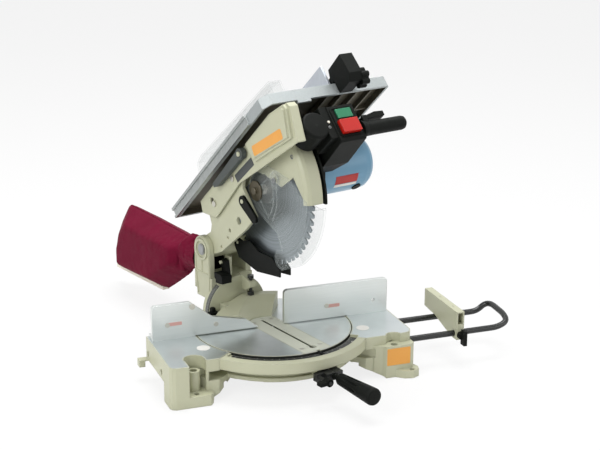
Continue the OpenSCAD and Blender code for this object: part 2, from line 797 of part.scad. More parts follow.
module upper_table() {
  x1 = top_x + top_w;
  y1 = top_y + top_l;
  color(alu) head() difference() {
    union() {
      difference() {
        zslab(rim_z, top_z) polygon([[top_x, top_y + 14], [top_x + 12, top_y], [x1 - 4, top_y],
          [x1, top_y + 4], [x1, y1], [top_x, y1]]);
        zslab(rim_z - 1, top_z - plate_t) polygon([[top_x + 5, top_y + 16], [top_x + 14, top_y + 5],
          [x1 - 5, top_y + 5], [x1 - 5, y1 - 5], [top_x + 5, y1 - 5]]);
      }
      // ribs at the right, post sleeves and the seat of the riving knife
      for (x = [70, 100, 130, 160]) block([x, top_y + 2, rim_z + 3], [x + 3, y1 - 2, top_z - 2]);
      for (y = [-90, 150]) block([62, y, rim_z + 3], [x1 - 2, y + 3, top_z - 2]);
      for (y = post_y) zrod(30, top_z - 2, post_x, y, 11);
      block([blade_t / 2, 124, rim_z], [10, 150, top_z - 2]);
      // hinge lugs of the clear guard
      for (s = [-1, 1]) xslab(s > 0 ? 12.5 : -17, s > 0 ? 17 : -12.5) union() {
        disc(150, top_z + 9.5, 6);
        polygon([[142, top_z - 1], [158, top_z - 1], [156, top_z + 9.5], [144, top_z + 9.5]]);
      }
      xrod(-18, 18, 150, top_z + 9.5, 3);
      // small stop tab under the front edge
      block([4, top_y, rim_z - 5], [30, top_y + 5, rim_z + 1]);
    }
    block([-17, -119, rim_z - 1], [17, 120, top_z + 1]);
    block([-22, -124.2, top_z - 5], [22, 134.2, top_z + 1]);
    block([-2.4, 119, rim_z - 1], [blade_t / 2, 150, top_z]);
    for (y = post_y) zrod(29, top_z - plate_t + 1, post_x, y, 7 + run);
  }
}
module side_rail() {
  color([0.45, 0.46, 0.46]) head() yslab(top_y + 60, top_y + top_l)
    polygon([[top_x, rim_z], [top_x - 5, rim_z], [top_x - 5, rim_z + 4], [top_x - 2, rim_z + 5],
      [top_x - 2, top_z - 5], [top_x - 5, top_z - 4], [top_x - 5, top_z], [top_x, top_z]]);
}
module table_insert() {
  color(black) head() difference() {
    block([-21.7, -124, top_z - 5], [21.7, 134, top_z]);
    block([-3.5, -116, rim_z], [3.5, 135, top_z + 1]);
  }
}
module riving_knife() {
  color(steel) head() xslab(-1.1, blade_t / 2) intersection() {
    fan(br + 5, br + 24, 25, 62);
    polygon([[0, rim_z], [148, rim_z], [148, top_z + 14], [120, top_z + 34], [0, top_z + 40]]);
  }
}
module top_guard() {
  t = br - 127.5;
  color(clear) head() difference() {
    xslab(-12, 12) polygon([[-136, top_z + 3.5], [-136, 124 + t], [130, 142 + t], [150, 138 + t],
      [158, 124 + t], [159, top_z + 8], [155, top_z + 3.5]]);
    xslab(-10, 10) polygon([[-134, top_z], [-134, 122.1 + t], [129.9, 140 + t], [148.6, 136.2 + t],
      [156, 123.4 + t], [156, top_z]]);
    xrod(-13, 13, 150, top_z + 9.5, 3 + run);
  }
}
fen_x = 82;
fen_z = top_z + slip;
module rip_fence() {
  color(alu) head() {
    block([fen_x, -156, fen_z], [fen_x + 4, 160, fen_z + 39]);
    block([fen_x + 3, -156, fen_z], [fen_x + 24, 160, fen_z + 4]);
  }
}
rip_screw = [-189, top_z - 10];
module rip_clamp() {
  color(black) head() difference() {
    xslab(fen_x + 6, fen_x + 31) polygon([[-140, fen_z + 4], [-140, fen_z + 12], [-158, fen_z + 14],
      [-163, fen_z + 26], [-205, fen_z + 29], [-208, fen_z - 8], [-198, rim_z], [top_y - slip, rim_z],
      [top_y - slip, fen_z + 4]]);
    xrod(fen_x + 12, fen_x + 32, rip_screw[0], rip_screw[1], 4 + run);
  }
}
module rip_knob() {
  color(black) head() {
    xrod(fen_x + 13, fen_x + 36, rip_screw[0], rip_screw[1], 4);
    xslab(fen_x + 31.6, fen_x + 46) translate(rip_screw) union() {
      circle(12.5);
      for (a = [0:60:300]) disc(11.5 * cos(a), 11.5 * sin(a), 5);
    }
  }
}
module table_lever() {
  z = cov_z - 9;
  color(black) head() difference() {
    xslab(cov_x - 12, cov_x - 2.5) union() {
      disc(-38, z, 9.5);
      polygon([[-40, z - 8], [58, z - 7], [68, z - 3], [68, z + 4], [-40, z + 8]]);
    }
    xrod(cov_x - 15, cov_x, -38, z, 4 + run);
  }
}

// switch housing and handle

sw_x = [28, 78];
hd = [sw_y + 7, -11];
nose_y = -(grd_r + grd_t + 7.5);
nose_l = nose_y - sw_y - 1;
green_box = [40.5, 69.5, 11, 27];
red_box = [35.5, 70.5, -17, 6];
module button_room(b, g) { block([b[0] - g, sw_y - 1, b[2] - g], [b[1] + g, sw_y + 9, b[3] + g]); }
module switch_housing() {
  color(black) head() difference() {
    union() {
      xslab(sw_x[0], sw_x[1]) polygon([[sw_y, -26], [sw_y + 3, -29], [-120, -34], [-60, -20],
        [-60, 56], [-110, 56], [sw_y + 22, 44], [sw_y, 34]]);
      block([14, sw_y + 2, -20], [29, nose_y + 6, 36]);
      block([-14, sw_y + 8, -10], [15, nose_y, 24]);
      // round end of the housing over the blade
      translate([-2, nose_y, 8]) rotate([90, 0, 0]) rotate_extrude() polygon([[0, 0], [22.4, 0],
        [22.4, nose_l - 8], [23.4, nose_l - 8], [23.4, nose_l - 3.5], [22.4, nose_l - 1.6],
        [20.6, nose_l - 0.8], [0, nose_l]]);
    }
    xrod(20, 63, mt[0], mt[1], motor_r + 3);
    xrod(62, 90, mt[0], mt[1], motor_r);
    button_room(green_box, slip);
    button_room(red_box, slip);
  }
}
module green_button() {
  b = green_box;
  color([0.16, 0.52, 0.35]) head() block([b[0], sw_y - 2.5, b[2]], [b[1], sw_y + 4.5, b[3]]);
}
module red_button() {
  b = red_box;
  color([0.78, 0.11, 0.10]) head() block([b[0], sw_y - 8, b[2]], [b[1], sw_y + 4.5, b[3]]);
}
module handle() {
  color(black) head() {
    translate([sw_x[1], hd[0], hd[1]]) rotate([90, 0, 90]) rotate_extrude() polygon([[0, 0], [14, 0],
      [14, 3], [12, 10], [11.6, 24], [11.6, 80], [10.6, 85], [7.5, 88], [0, 89]]);
    for (y = [hd[0] - 9.5, hd[0] + 6.6])
      block([sw_x[1] + 6, y, hd[1]], [sw_x[1] + 15, y + 2.9, hd[1] + 20]);
    yrod(hd[0] - 9, hd[0] + 9, sw_x[1] + 10.5, hd[1] + 16.5, 2);
  }
}
module handle_lever() {
  x = sw_x[1];
  z = hd[1];
  color(black) head() difference() {
    yslab(hd[0] - 6.2, hd[0] + 6.2) polygon([[x + 6.5, z + 14], [x + 12, z + 13.6], [x + 38, z + 15],
      [x + 53, z + 16], [x + 53, z + 24], [x + 36, z + 25], [x + 14, z + 20], [x + 7, z + 19]]);
    yrod(hd[0] - 8, hd[0] + 8, x + 10.5, z + 16.5, 2 + run);
  }
}

base();
miter_scale();
left_fence();
right_fence();
fence_screws();
pivot_bolt();
holder_rods();
stop_plate();
stop_screw();
turntable();
kerf_board();
kerf_screws();
pointer();
grip();
detent_lever();
bevel_pin();
arm_bracket();
bevel_scale();
bevel_pointer();
bevel_lever();
stop_bolt();
latch();
pivot_shaft();
dust_nozzle();
dust_bag();
bag_rail();
head_arm();
upper_cover();
blade_case();
cover_screws();
gear_housing();
switch_housing();
motor_housing();
brush_caps();
stator();
bearings();
handle();
handle_lever();
green_button();
red_button();
table_posts();
table_lever();
armature();
spindle();
main_gear();
flanges();
arbor_bolt();
blade();
lower_guard();
hub_plate();
guard_link();
dust_guard();
upper_table();
side_rail();
table_insert();
riving_knife();
top_guard();
rip_fence();
rip_clamp();
rip_knob();
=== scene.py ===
# %% [markdown]
# A table-top mitre saw: a chop saw whose head also carries a small rip-cut table.
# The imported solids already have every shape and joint, so this lesson dresses them: a camera like the
# photograph's, studio light, finishes for paint, machined metal, plastic and cloth, and the small pieces
# that are quicker to model here than in solids.

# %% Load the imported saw
import math

import bmesh
import bpy
from mathutils import Matrix, Vector


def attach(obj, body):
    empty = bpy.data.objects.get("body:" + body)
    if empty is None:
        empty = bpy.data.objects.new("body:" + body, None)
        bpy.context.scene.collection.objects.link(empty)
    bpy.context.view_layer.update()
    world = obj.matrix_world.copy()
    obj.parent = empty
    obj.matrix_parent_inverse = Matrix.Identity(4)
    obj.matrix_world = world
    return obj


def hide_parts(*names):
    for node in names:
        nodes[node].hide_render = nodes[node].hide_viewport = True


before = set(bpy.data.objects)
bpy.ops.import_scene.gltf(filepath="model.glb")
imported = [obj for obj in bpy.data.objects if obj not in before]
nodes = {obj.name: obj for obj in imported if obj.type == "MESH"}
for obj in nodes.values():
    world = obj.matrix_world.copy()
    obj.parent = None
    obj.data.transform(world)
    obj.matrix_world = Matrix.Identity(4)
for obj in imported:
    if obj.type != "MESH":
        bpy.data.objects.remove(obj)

scene = bpy.context.scene
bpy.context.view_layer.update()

# %% [markdown]
# The saw's own places are needed again and again: the head is turned 15 degrees with the table and raised
# 43 degrees about its rear pivot. One matrix takes head coordinates, counted in millimetres from the blade's
# arbor with the head down, to the saw standing as it was photographed. Another does the same for the table.

# %% Places on the turned table and on the raised head
MITRE, RAISE = math.radians(15), math.radians(43)
TABLE_TOP = 72.0
PIVOT = Vector((0, 148, TABLE_TOP + 105))
ARBOR = Vector((0, -45, TABLE_TOP + 110))
MM = Matrix.Scale(0.001, 4)
ON_TABLE = MM @ Matrix.Rotation(MITRE, 4, "Z")
ON_HEAD = (ON_TABLE @ Matrix.Translation(PIVOT) @ Matrix.Rotation(-RAISE, 4, "X")
           @ Matrix.Translation(ARBOR - PIVOT))
ON_BASE = MM
print("arbor at", [round(v, 4) for v in ON_HEAD.translation])

# %% [markdown]
# The camera is where the photographer's was: solved from the turntable's circle, the fences and the wings.
# The object stands left of the picture's centre, which the lens shift gives without turning the view.

# %% Camera
PHOTO_W, PHOTO_H, SENSOR = 600, 450, 36
FOCAL_PX, CENTRE_PX = 1504.32, (272.37, 225.7)
EYE_AT, EYE_DOWN, EYE_TURN = (-0.8024, -2.2319, 1.0111), 17.79, -19.77
eye = bpy.data.cameras.new("photo_camera")
eye_object = bpy.data.objects.new("photo_camera", eye)
scene.collection.objects.link(eye_object)
eye.sensor_width = SENSOR
eye.lens = FOCAL_PX * SENSOR / PHOTO_W
eye.shift_x = (PHOTO_W / 2 - CENTRE_PX[0]) / PHOTO_W
eye.shift_y = (CENTRE_PX[1] - PHOTO_H / 2) / PHOTO_W
eye.clip_end = 50
eye_object.location = EYE_AT
eye_object.rotation_euler = (math.radians(90 - EYE_DOWN), 0, math.radians(EYE_TURN))
scene.camera = eye_object
print("lens", round(eye.lens, 2))

# %% [markdown]
# Light and finishes are node trees, and a tree is easier to read as a sum than as a list of links. These
# helpers add one node each, set or link its inputs, and give back its output.

# %% Node helpers


def wire(tree, value, socket):
    if isinstance(value, bpy.types.NodeSocket):
        tree.links.new(value, socket)
    else:
        socket.default_value = value


def calc(tree, op, *values):
    k = tree.nodes.new("ShaderNodeMath")
    k.operation = op
    for i, v in enumerate(values):
        wire(tree, v, k.inputs[i])
    return k.outputs[0]


def noise(tree, scale, detail, vector=None, w=None):
    k = tree.nodes.new("ShaderNodeTexNoise")
    k.inputs["Detail"].default_value = detail
    wire(tree, scale, k.inputs["Scale"])
    if w is not None:
        k.noise_dimensions = "1D"
        wire(tree, w, k.inputs["W"])
    else:
        wire(tree, vector, k.inputs["Vector"])
    return k.outputs["Fac"]


def span(tree, value, low, high, start_at=0.0, end_at=1.0):
    k = tree.nodes.new("ShaderNodeMapRange")
    given = {"From Min": start_at, "From Max": end_at, "To Min": low, "To Max": high, "Value": value}
    for label, v in given.items():
        wire(tree, v, k.inputs[label])
    return k.outputs["Result"]


def mix(tree, fac, a, b):
    k = tree.nodes.new("ShaderNodeMix")
    k.data_type = "RGBA"
    for label, v in (("Factor", fac), ("A", a), ("B", b)):
        wire(tree, v, k.inputs[label])
    return k.outputs["Result"]


def bump(tree, height, strength, depth, normal=None):
    k = tree.nodes.new("ShaderNodeBump")
    k.inputs["Strength"].default_value = strength
    k.inputs["Distance"].default_value = depth
    wire(tree, height, k.inputs["Height"])
    if normal is not None:
        wire(tree, normal, k.inputs["Normal"])
    return k.outputs["Normal"]


def object_place(tree):
    return tree.nodes.new("ShaderNodeTexCoord").outputs["Object"]


def local_place(tree, matrix):
    """The point in metres, counted from the origin and along the axes of a turned place."""
    k = tree.nodes.new("ShaderNodeMapping")
    k.vector_type = "TEXTURE"
    k.inputs["Location"].default_value = matrix.translation
    k.inputs["Rotation"].default_value = matrix.to_3x3().normalized().to_euler()
    wire(tree, object_place(tree), k.inputs["Vector"])
    return k.outputs["Vector"]


def split(tree, vector):
    k = tree.nodes.new("ShaderNodeSeparateXYZ")
    wire(tree, vector, k.inputs[0])
    return k.outputs


def length(tree, vector):
    k = tree.nodes.new("ShaderNodeVectorMath")
    k.operation = "LENGTH"
    wire(tree, vector, k.inputs[0])
    return k.outputs["Value"]


def distance(tree, u, v):
    return calc(tree, "SQRT", calc(tree, "ADD", calc(tree, "MULTIPLY", u, u), calc(tree, "MULTIPLY", v, v)))


def new_group(name, inputs, outputs):
    tree = bpy.data.node_groups.new(name, "ShaderNodeTree")
    for label, value in inputs.items():
        tree.interface.new_socket(label, in_out="INPUT", socket_type="NodeSocketFloat").default_value = value
    for label, kind in outputs.items():
        tree.interface.new_socket(label, in_out="OUTPUT", socket_type="NodeSocket" + kind)
    return tree, tree.nodes.new("NodeGroupInput").outputs, tree.nodes.new("NodeGroupOutput").inputs


def softened(tree, radius):
    k = tree.nodes.new("ShaderNodeBevel")
    k.samples = 4
    wire(tree, radius, k.inputs["Radius"])
    return k.outputs["Normal"]


print("node helpers ready")

# %% [markdown]
# A catalogue picture is lit by large soft boxes: a key from the upper left, a weaker fill from the right and a
# strip from above. The white ground is the floor's and the world's own colour to the camera, so the lamps can
# stay at a plain level and the paint keeps the colour it is given.

# %% Studio light
scene.view_settings.view_transform = "Standard"


def soft_box(name, place, aim, size, power):
    lamp = bpy.data.lights.new(name, "AREA")
    lamp.shape = "RECTANGLE"
    lamp.size, lamp.size_y = size
    lamp.energy = power
    lamp_object = bpy.data.objects.new(name, lamp)
    scene.collection.objects.link(lamp_object)
    lamp_object.location = place
    lamp_object.rotation_euler = (Vector(aim) - Vector(place)).to_track_quat("-Z", "Y").to_euler()


soft_box("key_left", (-1.9, -1.2, 1.7), (0, 0, 0.2), (1.5, 1.5), 33)
soft_box("fill_right", (1.9, -1.7, 1.0), (0.1, 0, 0.2), (1.4, 1.4), 9)
soft_box("top_strip", (0.2, 0.3, 2.3), (0, 0, 0.1), (1.8, 1.2), 50)

ROOM_LIGHT, FLOOR_GLOW = 0.37, 0.82
world = bpy.data.worlds.new("white_room")
scene.world = world
world.use_nodes = True
sky = world.node_tree
room = sky.nodes["Background"].inputs
room["Color"].default_value = (1, 1, 1, 1)
rays = sky.nodes.new("ShaderNodeLightPath").outputs
seen = calc(sky, "MAXIMUM", rays["Is Camera Ray"], rays["Is Glossy Ray"])
seen = calc(sky, "MAXIMUM", seen, rays["Is Transmission Ray"])
wire(sky, span(sky, seen, ROOM_LIGHT, 1.0), room["Strength"])
print("lamps", len(bpy.data.lights))

# %% White floor
bpy.ops.object.select_all(action="DESELECT")
bpy.ops.mesh.primitive_plane_add(size=12, location=(0, 2.5, -0.0005))
floor = bpy.context.object
floor.name = "floor"
ground = bpy.data.materials.new("white_floor")
ground.use_nodes = True
paving = ground.node_tree
matt = paving.nodes["Principled BSDF"]
matt.inputs["Base Color"].default_value = (0.86, 0.86, 0.86, 1)
matt.inputs["Roughness"].default_value = 0.8
glow = paving.nodes.new("ShaderNodeEmission")
glow.inputs["Color"].default_value = (1, 1, 1, 1)
rays = paving.nodes.new("ShaderNodeLightPath").outputs
seen = calc(paving, "MAXIMUM", rays["Is Camera Ray"], rays["Is Transmission Ray"])
both = paving.nodes.new("ShaderNodeMixShader")
wire(paving, calc(paving, "MULTIPLY", seen, FLOOR_GLOW), both.inputs["Fac"])
wire(paving, matt.outputs[0], both.inputs[1])
wire(paving, glow.outputs[0], both.inputs[2])
wire(paving, both.outputs[0], paving.nodes["Material Output"].inputs["Surface"])
floor.data.materials.append(ground)
print("floor laid")

# %% [markdown]
# Several finishes share the same effects, so these are built once as node groups. The first gives a fine cast
# or moulded grain, as a height and as a slow change of tone. The second finds edges by comparing a softened
# normal with the true one: it rounds the edges that a casting has, and its mask rubs the paint thin along them.

# %% Shared effects: grain and worn edges
grain_group, given, made = new_group("cast_grain", {"Size": 900.0, "Tone Size": 14.0},
                                     {"Height": "Float", "Tone": "Float"})
here = object_place(grain_group)
wire(grain_group, noise(grain_group, given["Size"], 3, here), made["Height"])
wire(grain_group, noise(grain_group, given["Tone Size"], 4, here), made["Tone"])

edge_group, given, made = new_group("worn_edges", {"Radius": 0.002, "Break": 60.0},
                                    {"Mask": "Float", "Normal": "Vector"})
soft = softened(edge_group, given["Radius"])
match = edge_group.nodes.new("ShaderNodeVectorMath")
match.operation = "DOT_PRODUCT"
wire(edge_group, soft, match.inputs[0])
wire(edge_group, edge_group.nodes.new("ShaderNodeNewGeometry").outputs["Normal"], match.inputs[1])
breaks = noise(edge_group, given["Break"], 2, object_place(edge_group))
rub = calc(edge_group, "MULTIPLY_ADD", breaks, -0.5, match.outputs["Value"])
wire(edge_group, span(edge_group, rub, 0.0, 1.0, 0.58, 0.46), made["Mask"])
wire(edge_group, soft, made["Normal"])
print("groups", [g.name for g in bpy.data.node_groups])

# %% [markdown]
# The wings and the turntable are painted and then faced on a lathe, so only the flat top at table height is
# bare metal. A third group finds that face. The cutter stops short of the edges: a wide softened normal leaves
# a painted border there. Its second output gives the fine rings that facing leaves.

# %% Shared effects: machined top and turned rings
top_group, given, made = new_group("machined_top", {"Level": TABLE_TOP / 1000, "Border": 0.004},
                                   {"Mask": "Float", "Streak": "Float"})
here = object_place(top_group)
near = calc(top_group, "COMPARE", split(top_group, here)[2], given["Level"], 0.0004)
flat = calc(top_group, "GREATER_THAN", split(top_group, softened(top_group, given["Border"]))[2], 0.985)
wire(top_group, calc(top_group, "MULTIPLY", near, flat), made["Mask"])
wire(top_group, noise(top_group, 1500.0, 4, w=length(top_group, here)), made["Streak"])
print("groups", [g.name for g in bpy.data.node_groups])

# %% [markdown]
# Each finish is a small function of those groups. A colour is written as it would be read off a swatch, in
# eight-bit steps, and turned into the renderer's linear values here.

# %% Finish helpers


def swatch(r, g, b):
    return tuple(((v / 255 + 0.055) / 1.055) ** 2.4 if v > 10 else v / 255 / 12.92 for v in (r, g, b)) + (1.0,)


def start(name, rough, metal=0.0, spec=0.5):
    m = bpy.data.materials.new(name)
    m.use_nodes = True
    b = m.node_tree.nodes["Principled BSDF"].inputs
    b["Roughness"].default_value = rough
    b["Metallic"].default_value = metal
    b["Specular IOR Level"].default_value = spec
    return m, m.node_tree, b


def use(tree, group, **values):
    g = tree.nodes.new("ShaderNodeGroup")
    g.node_tree = group
    for label, value in values.items():
        g.inputs[label.replace("_", " ")].default_value = value
    return g.outputs


def moulded(name, colour, rough=0.5, worn=None, grain=1100.0, depth=0.00012, radius=0.0012, tone=0.12,
            metal=0.0, spec=0.5):
    """Paint, plastic or plain metal: slow tone change, fine grain, soft edges and, with worn, rubbed ones."""
    m, t, b = start(name, rough, metal, spec)
    g = use(t, grain_group, Size=grain)
    e = use(t, edge_group, Radius=radius)
    dark = swatch(*[v * (1 - tone) for v in colour])
    light = swatch(*[min(255, v * (1 + tone)) for v in colour])
    base = mix(t, g["Tone"], dark, light)
    if worn is not None:
        base = mix(t, e["Mask"], base, swatch(*worn))
    wire(t, base, b["Base Color"])
    wire(t, span(t, g["Tone"], rough - 0.08, rough + 0.08), b["Roughness"])
    wire(t, bump(t, g["Height"], 0.5, depth, e["Normal"]), b["Normal"])
    return m


def cover(names, m):
    for name in names.split():
        o = nodes[name]
        if not o.material_slots:
            o.data.materials.append(m)
        for s in o.material_slots:
            s.material = m


print("swatch test", [round(v, 3) for v in swatch(196, 196, 168)])

# %% [markdown]
# The castings wear a pale olive-grey paint with a slightly grainy skin. On the base and the turntable the same
# material turns to bare aluminium on the faced tops. The turntable's arm is left black. Its upper side wall is
# also coloured black, as painted shade for the dark trough under the base's lip, and its skirt below the lip is
# painted. The turntable's faced top gets darker, more varied metal tones as painted mottled reflections.

# %% Painted castings with machined tops
paint = moulded("olive_grey_paint", (186, 187, 160), 0.42, worn=(208, 208, 186), grain=700.0, depth=0.00015,
                radius=0.0022, tone=0.03)
EDGE_FROM, EDGE_TOP = 0.1327, 0.0716
SKIRT_TOP, SKIRT_TO = 0.055, 0.15


def faced_casting(name, dark, light, black_arm_and_trough_shade):
    m, t, b = start(name, 0.42)
    g = use(t, grain_group, Size=700.0, Tone_Size=9.0)
    e = use(t, edge_group, Radius=0.0022)
    f = use(t, top_group)
    shade = mix(t, g["Tone"], swatch(182, 183, 156), swatch(191, 192, 165))
    shade = mix(t, e["Mask"], shade, swatch(208, 208, 186))
    # The arm beyond the lip is black. The side wall near the top is coloured black as painted shade, standing
    # for the shadow in the trough under the base's lip. The skirt lower down keeps the paint.
    if black_arm_and_trough_shade:
        x, y, z = split(t, object_place(t))
        out = distance(t, x, y)
        wall = calc(t, "MULTIPLY", calc(t, "GREATER_THAN", out, EDGE_FROM), calc(t, "LESS_THAN", z, EDGE_TOP))
        low = calc(t, "MULTIPLY", calc(t, "LESS_THAN", z, SKIRT_TOP), calc(t, "LESS_THAN", out, SKIRT_TO))
        wall = calc(t, "SUBTRACT", wall, calc(t, "MULTIPLY", wall, low))
        shade = mix(t, wall, shade, swatch(24, 26, 24))
    # The faced top's metal varies slowly in tone. On the turntable the darker, wider range is painted mottled
    # reflection.
    metal = mix(t, span(t, g["Tone"], 0.0, 1.0, 0.3, 0.7), swatch(*dark), swatch(*light))
    metal = mix(t, span(t, f["Streak"], 0.0, 0.35), metal, swatch(214, 219, 219))
    wire(t, mix(t, f["Mask"], shade, metal), b["Base Color"])
    wire(t, span(t, f["Mask"], 0.0, 0.9), b["Metallic"])
    wire(t, span(t, f["Mask"], 0.42, 0.3), b["Roughness"])
    wire(t, bump(t, g["Height"], 0.35, 0.00015, e["Normal"]), b["Normal"])
    return m


cover("base", faced_casting("base_casting", (176, 184, 186), (206, 213, 214), False))
# The turntable gets darker, wider metal tones as painted reflection, plus its black arm and the painted trough
# shade.
cover("turntable", faced_casting("turntable_casting", (158, 166, 166), (214, 220, 220), True))
cover("arm_bracket head_arm upper_cover blade_case stop_plate", paint)
print("castings painted")

# %% [markdown]
# The fences, the rip fence and the upper table are aluminium. The faces are milled, so the light runs along
# them in faint streaks; a stretched noise gives the streaks without an image. The upper table is only milled
# outside: under the plate it keeps the dull skin of the casting, coloured dark there as painted shade under the
# table.

# %% Milled aluminium
UNDER_TOP, UNDER_LOW, UNDER_HIGH = 0.0815, (-0.0517, -0.1597), (0.1867, 0.2047)
CORNER_RUN, CORNER_RISE, CORNER_LINE = 14.0, 12.0, -2.534


def milled(name, dark, light, stretch, rough=0.34, metal=0.85, shaded_skin=None):
    m, t, b = start(name, rough, metal)
    e = use(t, edge_group, Radius=0.0012)
    turn = t.nodes.new("ShaderNodeMapping")
    turn.inputs["Scale"].default_value = stretch
    wire(t, object_place(t), turn.inputs["Vector"])
    streak = noise(t, 1.0, 5, turn.outputs["Vector"])
    g = use(t, grain_group, Size=500.0, Tone_Size=9.0)
    shade = mix(t, streak, swatch(*dark), swatch(*light))
    shade = mix(t, span(t, g["Tone"], 0.0, 0.25), shade, swatch(222, 227, 228))
    if shaded_skin is not None:
        x, y, z = split(t, local_place(t, ON_HEAD))
        inside = calc(t, "LESS_THAN", z, UNDER_TOP)
        for side, edge in zip((x, y), UNDER_LOW):
            inside = calc(t, "MULTIPLY", inside, calc(t, "GREATER_THAN", side, edge))
        for side, edge in zip((x, y), UNDER_HIGH):
            inside = calc(t, "MULTIPLY", inside, calc(t, "LESS_THAN", side, edge))
        corner = calc(t, "ADD", calc(t, "MULTIPLY", x, CORNER_RUN), calc(t, "MULTIPLY", y, CORNER_RISE))
        inside = calc(t, "MULTIPLY", inside, calc(t, "GREATER_THAN", corner, CORNER_LINE))
        # Painted shade: under the plate the cast skin is coloured a dark olive-grey, standing for the shadow
        # under the table.
        cast = mix(t, g["Tone"], swatch(*[v * 0.8 for v in shaded_skin]), swatch(*[v * 1.2 for v in shaded_skin]))
        shade = mix(t, inside, shade, cast)
        wire(t, span(t, inside, metal, 0.3), b["Metallic"])
    wire(t, shade, b["Base Color"])
    wire(t, span(t, streak, rough - 0.06, rough + 0.1), b["Roughness"])
    wire(t, bump(t, streak, 0.15, 0.0001, e["Normal"]), b["Normal"])
    return m


cover("left_fence right_fence", milled("milled_fence", (204, 209, 206), (217, 221, 218), (14, 40, 500), 0.3))
# The dark colour under the upper table's plate is painted shade.
cover("upper_table", milled("milled_table", (138, 144, 144), (170, 176, 176), (500, 500, 40), 0.52, 0.55,
                            shaded_skin=(84, 79, 65)))
cover("rip_fence", milled("drawn_fence", (190, 196, 205), (212, 218, 226), (600, 60, 60), 0.38))
cover("side_rail", milled("drawn_rail", (134, 138, 136), (176, 180, 178), (60, 220, 60), 0.36))
print("aluminium done")

# %% [markdown]
# Steel pieces keep a plain grey with a fine grain. The blade is ground on a lathe, so its rings run round the
# arbor: the pattern is counted from the arbor's own place on the head.

# %% Steel and the ground blade
steel = moulded("plain_steel", (150, 152, 152), 0.34, metal=0.9, grain=900.0, depth=0.00006, radius=0.0006,
                tone=0.05)
zinc = moulded("zinc_plate", (196, 194, 184), 0.3, metal=0.9, grain=900.0, depth=0.00005, radius=0.0006,
               tone=0.05)
cover("pivot_bolt bevel_pin pivot_shaft stator bearings armature spindle main_gear flanges "
      "riving_knife table_posts", steel)
cover("fence_screws kerf_screws cover_screws arbor_bolt", zinc)
cover("hub_plate", moulded("browned_steel", (82, 76, 60), 0.35, worn=(140, 134, 112), metal=0.6, depth=0.00005,
                           radius=0.001))

ground_steel, t, b = start("ground_blade", 0.3, 0.9)
rings = noise(t, 300.0, 4, w=length(t, local_place(t, ON_HEAD)))
wire(t, mix(t, rings, swatch(104, 112, 116), swatch(150, 158, 162)), b["Base Color"])
wire(t, span(t, rings, 0.3, 0.42), b["Roughness"])
wire(t, bump(t, rings, 0.08, 0.00008), b["Normal"])
cover("blade", ground_steel)
print("steel done")

# %% [markdown]
# The black mouldings have the leathery skin of glass-filled nylon, the motor shell a smooth satin blue, and
# the rods a plain black enamel. The two push buttons are glossy.

# %% Plastics and enamel


def glossy(name, colour, worn):
    return moulded(name, colour, 0.3, worn=worn, grain=900.0, depth=0.00004, radius=0.0018, tone=0.03)


nylon = moulded("black_nylon", (7, 10, 7), 0.55, worn=(26, 30, 25), grain=1400.0, depth=0.00018, radius=0.0016,
                tone=0.15, spec=0.13)
enamel = moulded("black_enamel", (20, 22, 21), 0.25, worn=(52, 54, 52), grain=500.0, depth=0.00004,
                 radius=0.0008, tone=0.1)
grey_nylon = moulded("grey_nylon", (74, 79, 77), 0.5, worn=(104, 108, 104), depth=0.00015, radius=0.0012,
                     tone=0.1, spec=0.3)
board = moulded("kerf_plastic", (205, 208, 192), 0.5, depth=0.0001, radius=0.0006, tone=0.04)
white = moulded("white_plastic", (232, 226, 210), 0.45, grain=900.0, depth=0.00006, radius=0.001, tone=0.03)
red = glossy("red_plastic", (176, 24, 14), (194, 52, 40))
green = glossy("green_plastic", (34, 118, 82), (58, 140, 104))
blue = moulded("blue_shell", (104, 150, 178), 0.32, worn=(138, 178, 202), grain=1200.0, depth=0.00005,
               radius=0.0014, tone=0.03)
cover("stop_screw grip detent_lever bevel_pointer bevel_lever latch dust_nozzle gear_housing switch_housing",
      nylon)
cover("pointer brush_caps handle handle_lever guard_link dust_guard table_insert rip_clamp rip_knob", nylon)
for name, finish in (("table_lever", grey_nylon), ("motor_housing", blue), ("stop_bolt", enamel),
                     ("kerf_board", board), ("red_button", red), ("green_button", green), ("bag_rail", white)):
    cover(name, finish)
print("plastics done")

# %% [markdown]
# The guards are clear polycarbonate. Light should pass through to the blade, so the material is mostly open
# and turns milky where a wall is seen edge-on, which is how the rim of the real guard shows up.

# %% Clear guards
clear_plastic, t, b = start("clear_guard", 0.06, spec=0.6)
b["Base Color"].default_value = swatch(196, 204, 202)
facing = t.nodes.new("ShaderNodeLayerWeight")
facing.inputs["Blend"].default_value = 0.35
scuffs = noise(t, 40.0, 4, object_place(t))
wire(t, span(t, scuffs, 0.04, 0.12), b["Roughness"])
rim = span(t, use(t, edge_group, Radius=0.0016)["Mask"], 0.0, 0.5)
wire(t, calc(t, "MAXIMUM", span(t, facing.outputs["Facing"], 0.02, 0.22), rim), b["Alpha"])
cover("lower_guard top_guard", clear_plastic)
print("guards clear")

# %% [markdown]
# The mitre scale is a dark plate with pale degree marks. The marks follow the angle round the table's axis, so
# one angle, cut into whole degrees, draws them all. The same plan marks the bevel scale round its own axis.

# %% Scales


